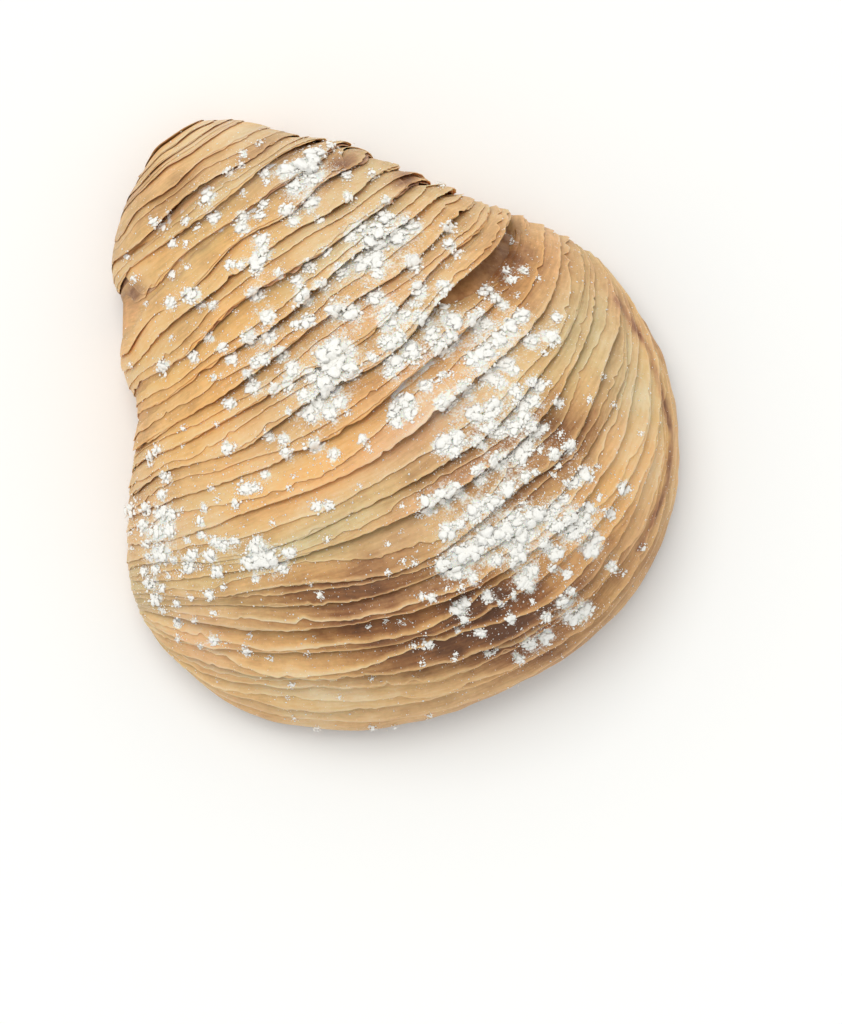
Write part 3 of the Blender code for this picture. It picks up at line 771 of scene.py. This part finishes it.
def ball_shape(rings, around):
    """Directions of a small ball: rings of points between two poles, and its faces."""
    tilt = np.linspace(0.0, math.pi, rings + 2)[1:-1, None]
    turn = np.linspace(0.0, 2.0 * math.pi, around, endpoint=False)[None]
    body = np.stack(
        [np.sin(tilt) * np.cos(turn), np.sin(tilt) * np.sin(turn), np.cos(tilt) + 0 * turn], -1
    ).reshape(-1, 3)
    points = np.concatenate([[(0.0, 0.0, 1.0)], body, [(0.0, 0.0, -1.0)]])
    at = 1 + np.arange(rings * around).reshape(rings, around)
    after = np.roll(at, -1, axis=1)
    quads = np.stack([at[:-1], at[1:], after[1:], after[:-1]], axis=-1).reshape(-1, 4)
    top = np.stack([np.zeros(around, int), at[0], after[0]], axis=-1)
    bottom = np.stack([np.full(around, len(points) - 1), after[-1], at[-1]], axis=-1)
    return points, quads, np.concatenate([top, bottom])


def make_grains(rng, name, spots, shape, flat, rough, material):
    """A piece of many uneven balls, each squashed along the normal where it lies. rough is
    a pair: how much each corner strays by itself, and how much in lumps."""
    centres, normals, sizes = spots
    ball, quads, triangles = shape
    count, corners = len(centres), len(ball)
    helper = np.where(np.abs(normals[:, 2:3]) > 0.9, (1.0, 0.0, 0.0), (0.0, 0.0, 1.0))
    first = unit(np.cross(normals, helper))
    second = np.cross(normals, first)
    angle = rng.uniform(0.0, 2.0 * math.pi, (count, 1))
    ahead = first * np.cos(angle) + second * np.sin(angle)
    aside = np.cross(normals, ahead)
    wide = rng.uniform(0.78, 1.28, (count, 1))
    local = ball[None] * sizes[:, None, None]
    swell = 1.0 + rough[0] * rng.uniform(-1.0, 1.0, (count, corners))
    shifted = local + 9.0 * np.arange(count)[:, None, None]
    swell = swell + rough[1] * lumpiness(shifted, 0.50, 7)
    swell = np.maximum(swell + 0.7 * rough[1] * lumpiness(shifted, 0.22, 8), 0.35)
    local = local * swell[..., None]
    points = centres[:, None] + local[..., 0:1] * (ahead * wide)[:, None]
    points = points + local[..., 1:2] * (aside / wide)[:, None]
    points = points + local[..., 2:3] * (normals * flat)[:, None]
    offset = (np.arange(count) * corners)[:, None, None]
    all_quads = (quads[None] + offset).reshape(-1, 4)
    all_triangles = (triangles[None] + offset).reshape(-1, 3)
    mesh = make_mesh(name, points.reshape(-1, 3), all_quads, list(all_triangles))
    return add_piece(name, mesh, material)


def settle(ground, x, y, size, lift):
    """Set round bits of a size on what lies under them, lifted a little. Bits on ground
    that is too low or too steep are left out."""
    height, normal = fall_on(ground, x, y)
    kept = (height > LUMP_LOW) & (normal[:, 2] > LUMP_LEVEL)
    centre = np.stack([x, y, height], axis=-1) + normal * (lift + 0.25 * size)[:, None]
    return centre[kept], normal[kept], size[kept]


def bits_round(rng, lump, angle, span, sizes, scale, lift):
    """Bits at the given angles round a lump: place, size and lift of each. span is the
    range of their distance in sizes of the lump, and sizes that of their own size."""
    x, y, size = lump
    away = size * rng.uniform(*span, len(angle))
    small = scale * rng.uniform(*sizes, len(angle))
    return np.column_stack([
        x + away * np.cos(angle), y + away * np.sin(angle), small, lift * small
    ])


def lump_parts(rng, ground):
    """The main parts of each lump, the bits along its edge and the grains round it."""
    parts, bits, crumbs = [], [], []
    low, high = LUMPS[:, :2].min(axis=0), LUMPS[:, :2].max(axis=0)
    strays = rng.uniform(low, high, (SMALL_LUMPS, 2))
    strays = np.column_stack([strays, rng.uniform(0.35, 0.75, SMALL_LUMPS)])
    turn = 2.0 * math.pi
    for lump in np.concatenate([LUMPS, strays]):
        size = lump[2]
        count = 2 + int(size > 0.8) + int(size > 1.6)
        angle = rng.uniform(0.0, turn) + 2.2 * np.arange(count)
        parts.append(bits_round(rng, lump, angle, (0.22, 0.55), (0.34, 0.56), size, 0.05))
        angle = rng.uniform(0.0, turn, int(4 + 8 * size))
        scale = min(size, 1.3)
        bits.append(bits_round(rng, lump, angle, (0.35, 1.15), (0.14, 0.32), scale, 0.2))
        angle = rng.uniform(0.0, turn, int(5 + 9 * size))
        crumbs.append(bits_round(rng, lump, angle, (0.7, 1.6), (0.07, 0.16), 1.0, 0.0))
    return [settle(ground, *np.concatenate(made).T) for made in (parts, bits, crumbs)]


def scattered(rng, ground, count, sizes, even):
    """Loose bits, drawn by how thickly the sugar lies. even is the share of them that falls
    anywhere."""
    x, y = (rng.uniform(low, high, count * 9) for low, high in MAP_SPAN)
    height, normal = fall_on(ground, x, y)
    _, haze = sugar_cover(np.stack([x, y, height], axis=-1))
    chance = haze * (1.0 - even) + even
    level = (height > LOOSE_LOW) & (normal[:, 2] > LOOSE_LEVEL)
    kept = np.flatnonzero(level & (rng.uniform(0.0, 1.0, len(x)) < chance))[:count]
    size = sizes[0] + (sizes[1] - sizes[0]) * rng.uniform(0.0, 1.0, len(kept)) ** 2
    centre = np.stack([x, y, height], axis=-1)[kept] + normal[kept] * (0.3 * size)[:, None]
    return centre, normal[kept], size


def new_group(name, inputs, outputs):
    """An empty node group: (name, value) inputs that are numbers, (name, kind) outputs."""
    group = bpy.data.node_groups.new(name, "ShaderNodeTree")
    for label, value in inputs:
        socket = group.interface.new_socket(label, in_out="INPUT", socket_type="NodeSocketFloat")
        socket.default_value = value
    for label, kind in outputs:
        group.interface.new_socket(label, in_out="OUTPUT", socket_type=kind)
    entry = group.nodes.new("NodeGroupInput")
    leave = group.nodes.new("NodeGroupOutput")
    return group, entry, leave


def fill(tree, node, inputs):
    """Give a node's inputs their values, each a number, a colour or a socket to link.
    Returns its outputs."""
    for label, value in inputs.items():
        if isinstance(value, bpy.types.NodeSocket):
            tree.links.new(value, node.inputs[label])
        else:
            node.inputs[label].default_value = value
    return node.outputs


def math_node(tree, operation, first, second, clamp=False):
    """A Math node on two values. Returns its output."""
    node = tree.nodes.new("ShaderNodeMath")
    node.operation = operation
    node.use_clamp = clamp
    return fill(tree, node, {0: first, 1: second})[0]


def noise_node(tree, where, scale, detail=4.0, roughness=0.55):
    """A Noise texture at the given places. Returns its value."""
    node = tree.nodes.new("ShaderNodeTexNoise")
    inputs = {"Vector": where, "Scale": scale, "Detail": detail, "Roughness": roughness}
    return fill(tree, node, inputs)["Fac"]


def ramp_node(tree, value, stops):
    """A colour ramp through (place, colour) stops. Returns its colour."""
    node = tree.nodes.new("ShaderNodeValToRGB")
    ramp = node.color_ramp
    ramp.elements[0].position, ramp.elements[-1].position = stops[0][0], stops[-1][0]
    for place, _ in stops[1:-1]:
        ramp.elements.new(place)
    for element, (_, colour) in zip(ramp.elements, stops):
        element.color = (*colour, 1.0)
    return fill(tree, node, {"Fac": value})["Color"]


def mix_colour(tree, share, first, second):
    """Mix two colours by a share. Returns the result."""
    node = tree.nodes.new("ShaderNodeMix")
    node.data_type = "RGBA"
    return fill(tree, node, {0: share, 6: first, 7: second})[2]


def read_value(tree, label, output="Fac"):
    """A value that the mesh keeps at its points."""
    node = tree.nodes.new("ShaderNodeAttribute")
    node.attribute_name = label
    return node.outputs[output]


def object_place(tree):
    """The place of a point on the object."""
    return tree.nodes.new("ShaderNodeTexCoord").outputs["Object"]


def group_node(tree, group, inputs):
    """Put a node group in a tree. Returns its outputs."""
    node = tree.nodes.new("ShaderNodeGroup")
    node.node_tree = group
    return fill(tree, node, inputs)


def bump_node(tree, height, strength):
    """Bump from a height. Returns its normal."""
    node = tree.nodes.new("ShaderNodeBump")
    inputs = {"Strength": strength, "Distance": BUMP_REACH, "Height": height}
    return fill(tree, node, inputs)["Normal"]


def new_material(name):
    """A material with its node tree and its shader."""
    material = bpy.data.materials.new(name)
    material.use_nodes = True
    return material, material.node_tree, material.node_tree.nodes["Principled BSDF"]


# How far a bump reaches, in metres
BUMP_REACH = 0.0002

# The colours of the dough from pale to dark, in its three hues
STRAW = (
    (0.00, (0.80, 0.66, 0.44)),
    (0.30, (0.66, 0.49, 0.26)),
    (0.55, (0.48, 0.31, 0.145)),
    (0.80, (0.25, 0.135, 0.055)),
    (1.00, (0.11, 0.055, 0.025)),
)
GOLD = (
    (0.00, (0.93, 0.61, 0.31)),
    (0.30, (0.91, 0.475, 0.165)),
    (0.55, (0.60, 0.31, 0.105)),
    (0.80, (0.30, 0.125, 0.040)),
    (1.00, (0.13, 0.055, 0.024)),
)
ROSE = (
    (0.00, (0.86, 0.62, 0.44)),
    (0.30, (0.74, 0.43, 0.25)),
    (0.55, (0.48, 0.25, 0.135)),
    (0.80, (0.25, 0.11, 0.058)),
    (1.00, (0.11, 0.048, 0.028)),
)


# Sugar, greyer in the hollows of its bump as painted shade and whiter on top, then the dust on
# the dough and the floor
SUGAR = (
    (0.25, (0.92, 0.905, 0.85)),
    (0.60, (0.97, 0.965, 0.93)),
)
DUST_COLOUR = (0.93, 0.915, 0.86, 1.0)
FLOOR_COLOUR = (0.93, 0.94, 0.935, 1.0)


def dough_group():
    """Baked dough: browning with mottling and with streaks along the leaf looks up a colour
    among straw, gold and rose. Puts out a colour, a roughness and a height."""
    group, entry, leave = new_group(
        "baked dough",
        (("Toast", 0.4), ("Gold", 0.3), ("Rose", 0.1), ("Mottling", 0.2)),
        (("Color", "NodeSocketColor"), ("Roughness", "NodeSocketFloat"),
         ("Height", "NodeSocketFloat")),
    )
    where = object_place(group)
    streaks = noise_node(group, read_value(group, "weave", "Vector"), 1.0, 5.0, 0.6)
    broad = noise_node(group, where, 160.0, 5.0)
    fine = noise_node(group, where, 1100.0, 4.0, 0.65)
    swing = math_node(group, "ADD", broad, streaks)
    swing = math_node(group, "ADD", swing, math_node(group, "MULTIPLY", fine, 0.5))
    swing = math_node(group, "SUBTRACT", swing, 1.25)
    swing = math_node(group, "MULTIPLY", swing, entry.outputs["Mottling"])
    toast = math_node(group, "ADD", entry.outputs["Toast"], swing, clamp=True)
    straw = ramp_node(group, toast, STRAW)
    colour = mix_colour(group, entry.outputs["Gold"], straw, ramp_node(group, toast, GOLD))
    colour = mix_colour(group, entry.outputs["Rose"], colour, ramp_node(group, toast, ROSE))
    rough = math_node(group, "MULTIPLY", fine, 0.25)
    height = math_node(group, "ADD", fine, math_node(group, "MULTIPLY", streaks, 1.2))
    fill(group, leave, {"Color": colour, "Roughness": rough, "Height": height})
    return group


def powder_group():
    """Sugar dust: patches of noise wherever the given amount passes them. Puts out a mask."""
    group, entry, leave = new_group(
        "sugar dust", (("Amount", 0.3),), (("Mask", "NodeSocketFloat"),)
    )
    where = object_place(group)
    patches = noise_node(group, where, 420.0, 7.0, 0.75)
    specks = noise_node(group, where, 2400.0, 2.0, 0.6)
    both = math_node(group, "MULTIPLY", patches, 0.6)
    both = math_node(group, "ADD", both, math_node(group, "MULTIPLY", specks, 0.4))
    level = math_node(group, "MULTIPLY", entry.outputs["Amount"], 0.36)
    over = math_node(group, "ADD", math_node(group, "SUBTRACT", both, 0.62), level)
    mask = math_node(group, "MULTIPLY", over, 6.0, clamp=True)
    mask = math_node(group, "MULTIPLY", mask, 0.92)
    fill(group, leave, {"Mask": mask})
    return group


def leaf_material(name, dough, powder, mottling):
    """Baked leaf: its browning and hue come from its points, it is paler at its edge, a painted
    highlight where the edge catches the light, and sugar dust lies on it."""
    material, tree, shader = new_material(name)
    rim, toast, gold, rose, amount = (
        read_value(tree, label) for label in ("rim", "toast", "gold", "rose", "powder")
    )
    # Paler along each sheet's edge: a painted highlight.
    toast = math_node(tree, "ADD", toast, math_node(tree, "MULTIPLY", rim, -0.12))
    baked = group_node(
        tree, dough, {"Toast": toast, "Gold": gold, "Rose": rose, "Mottling": mottling}
    )
    dust = group_node(tree, powder, {"Amount": amount})
    fill(tree, shader, {
        "Base Color": mix_colour(tree, dust["Mask"], baked["Color"], DUST_COLOUR),
        "Roughness": math_node(tree, "ADD", baked["Roughness"], 0.40),
        "Normal": bump_node(tree, baked["Height"], 0.30),
        "Specular IOR Level": 0.3,
        "Subsurface Weight": 0.3,
        "Subsurface Radius": (1.0, 0.45, 0.2),
        "Subsurface Scale": 0.001,
    })
    return material


def sugar_material():
    """White sugar, soft and a little warm, uneven in height, and greyer in its hollows as painted
    shade.
    """
    material, tree, shader = new_material("white sugar")
    grain = noise_node(tree, object_place(tree), 3000.0, 3.0, 0.7)
    fill(tree, shader, {
        "Base Color": ramp_node(tree, grain, SUGAR),
        "Normal": bump_node(tree, grain, 0.6),
        "Roughness": 0.85,
        "Specular IOR Level": 0.2,
    })
    return material


def core_grid():
    """The inner body that shows in the crevices: the smooth body sunk below the leaves."""
    past = RIM_LENGTH / SIDE_UNIT
    length = np.linspace(-RIM_LENGTH, SPINE_END + RIM_LENGTH, CORE_GRID[0])
    side = np.linspace(-1.0 - past, 1.0 + past, CORE_GRID[1])
    length, side = np.meshgrid(length, side, indexing="ij")
    base = body_point(length, side)
    fade = np.clip(base[..., 2] / 3.0, 0.0, 1.0)
    height = -(CORE_SINK + 0.5 * lumpiness(base, 3.0, 5)) * fade
    points = base + outward(length, side) * height[..., None]
    points[..., 2] = np.maximum(points[..., 2], 0.0)
    return points


def build_core(material):
    """The inner body with a flat underside. It stands for the solid, with the leaves over
    it. The underside narrows ring by ring from the rim to a small middle face."""
    grid = core_grid()
    rows, columns = grid.shape[:2]
    at = np.arange(rows * columns).reshape(rows, columns)
    quads = np.stack([at[:-1, :-1], at[1:, :-1], at[1:, 1:], at[:-1, 1:]], axis=-1).reshape(-1, 4)
    outline = np.concatenate([at[:, 0], at[-1, 1:], at[-2::-1, -1], at[0, -2:0:-1]])
    points = grid.reshape(-1, 3)
    middle = np.array((*RIM_CENTRE, 0.0))
    edge = points[outline]
    rings = [outline]
    for share in UNDERSIDE_SHARES:
        first = len(points)
        points = np.concatenate([points, middle + (edge - middle) * share])
        rings.append(first + np.arange(len(outline)))
    for outer, inner in zip(rings[:-1], rings[1:]):
        wall = np.stack([outer, inner, np.roll(inner, -1), np.roll(outer, -1)], axis=-1)
        quads = np.concatenate([quads, wall])
    # Browner higher up, where the inner body shows in the crevices: painted shade there. Lower
    # down it has the colour of the baked base.
    inner = smooth_step(6.0, 14.0, points[:, 2])
    fields = {
        "rim": np.zeros(len(points)),
        "toast": 0.50 + 0.22 * inner + 0.10 * lumpiness(points, 5.0, 61),
        "gold": np.full(len(points), 0.7),
        "rose": np.full(len(points), 0.2),
        "powder": np.zeros(len(points)),
        "weave": 0.5 * points,
    }
    mesh = make_mesh("core", points, quads, [rings[-1][::-1]], fields)
    piece = add_piece("core", drop_flat_faces(mesh), material)
    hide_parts(NODE)


def leaf_shade(rng, browning):
    """One sheet's own browning, gold and rose, and where its streaks start."""
    return (
        browning + rng.uniform(-0.07, 0.07), rng.uniform(-0.15, 0.15),
        rng.uniform(-0.12, 0.12), rng.uniform(0.0, 90.0),
    )


def build_leaves(rng, material):
    """All the leaves: each with one under it whose edge peeps out here and there, and most
    with a second lip on top, part of the way along. Torn ones get inner dough below them."""
    kinds = {"leaves": [], "upper_leaves": [], "under_leaves": []}
    torn = {tear[0] for tear in TEARS if tear[3] > 0.0}
    for number in range(-1, LEAVES):
        form = leaf_form(rng, number)
        single = number in SINGLE
        front = UPPER_FRONT + UPPER_WANDER[0] * wavering(rng, form["along"], 26.0)
        front = np.clip(front + UPPER_WANDER[1] * wavering(rng, form["along"], 7.0), 0.2, 1.05)
        behind = 0.0 if single else np.minimum(front, 0.85)
        block = sheet_block(rng, form, LEAF_ROWS, ROOT, 1.0, 0.0, 0.0, behind)
        kinds["leaves"].append((number, block, leaf_shade(rng, 0.0)))
        peep = PEEP * wavering(rng, form["along"], 16.0) * form["room"] / form["gap"]
        form = {**form, "number": None}
        block = sheet_block(rng, form, UNDER_ROWS, UNDER_ROOT, 1.0 + peep, 0.0, UNDER_SINK)
        kinds["under_leaves"].append((number, block, leaf_shade(rng, 0.05)))
        if number in torn:
            block = sheet_block(rng, form, UNDER_ROWS, INNER_ROOT, 1.02, 0.0, INNER_SINK)
            kinds["under_leaves"].append((number, block, TORN_SHADE))
        if not single:
            block = sheet_block(rng, form, UPPER_ROWS, UPPER_ROOT, front, UPPER_LIFT, -0.10)
            kinds["upper_leaves"].append((number, block, leaf_shade(rng, -0.02)))
    spans = {"back": (-1, 8), "neck": (8, 14), "crown": (14, 19), "brow": (19, 23),
             "front": (23, LEAVES)}
    for kind, made in kinds.items():
        for label, (first, last) in spans.items():
            sheets = [(block, shade) for number, block, shade in made if first <= number < last]
            add_leaves(f"{kind}_{label}", sheets, material)
    return [block for kind in ("leaves", "upper_leaves") for _, block, _ in kinds[kind]]


def build_sugar(rng, ground, look):
    """Lumps, loose grains and dust."""
    parts, bits, crumbs = lump_parts(rng, ground)
    make_grains(rng, "sugar_lumps", parts, ball_shape(7, 11), LUMP_FLAT, (0.12, 0.50), look)
    make_grains(rng, "sugar_bits", bits, ball_shape(2, 6), 0.6, (0.25, 0.30), look)
    loose = scattered(rng, ground, LOOSE_GRAINS, GRAIN_SIZES, 0.12)
    grains = [np.concatenate(pair) for pair in zip(crumbs, loose)]
    make_grains(rng, "sugar_grains", grains, ball_shape(1, 5), 0.7, (0.25, 0.0), look)
    dust = scattered(rng, ground, DUST_SPECKS, DUST_SIZES, 0.16)
    make_grains(rng, "sugar_dust", dust, ball_shape(1, 4), 0.8, (0.2, 0.0), look)


def build_ground():
    """A pale floor, wider than the view."""
    mesh = bpy.data.meshes.new("floor")
    corners = np.array([(-1, -1, 0), (1, -1, 0), (1, 1, 0), (-1, 1, 0)]) * FLOOR_HALF
    mesh.from_pydata(corners, [], [(0, 1, 2, 3)])
    material, tree, shader = new_material("pale floor")
    fill(tree, shader, {"Base Color": FLOOR_COLOUR, "Roughness": 0.8})
    mesh.materials.append(material)
    put_in("floor", mesh)


def light_scene():
    """Soft light from all round, and a broad sun from the top left of the picture."""
    world = bpy.data.worlds.new("soft light")
    world.use_nodes = True
    sky = {"Color": SKY_COLOUR, "Strength": SKY_STRENGTH}
    fill(world.node_tree, world.node_tree.nodes["Background"], sky)
    bpy.context.scene.world = world
    sun = bpy.data.lights.new("window", "SUN")
    sun.energy, sun.angle, sun.color = SUN_STRENGTH, SUN_WIDTH, SUN_COLOUR
    up = np.array((-math.sin(VIEW_TURN), math.cos(VIEW_TURN), 0.0))
    right = np.array((math.cos(VIEW_TURN), math.sin(VIEW_TURN), 0.0))
    x, y, z = SUN_UP * up + SUN_RIGHT * right + (0.0, 0.0, SUN_HEIGHT)
    turned = (math.acos(z / math.hypot(x, y, z)), 0.0, math.atan2(x, -y))
    put_in("window", sun).rotation_euler = turned
    bpy.context.scene.view_settings.view_transform = "Standard"


def place_camera():
    """Look straight down, turned so that the picture's up is the photograph's."""
    camera = bpy.data.cameras.new("camera")
    camera.sensor_width = SENSOR
    camera.lens = SENSOR * (VIEW_DISTANCE - VIEW_LEVEL) / VIEW_HEIGHT
    holder = put_in("camera", camera)
    holder.location = (VIEW_MIDDLE[0] * MM, VIEW_MIDDLE[1] * MM, VIEW_DISTANCE * MM)
    holder.rotation_euler = (0.0, 0.0, VIEW_TURN)
    bpy.context.scene.camera = holder


def build():
    """Dress the frame."""
    rng = np.random.default_rng(SEED + 1)
    look = leaf_material("baked leaf", dough_group(), powder_group(), 0.42)
    build_core(look)
    tops = build_leaves(rng, look)
    ground = height_map(tops)
    build_sugar(rng, ground, sugar_material())
    build_ground()
    light_scene()
    place_camera()


build()
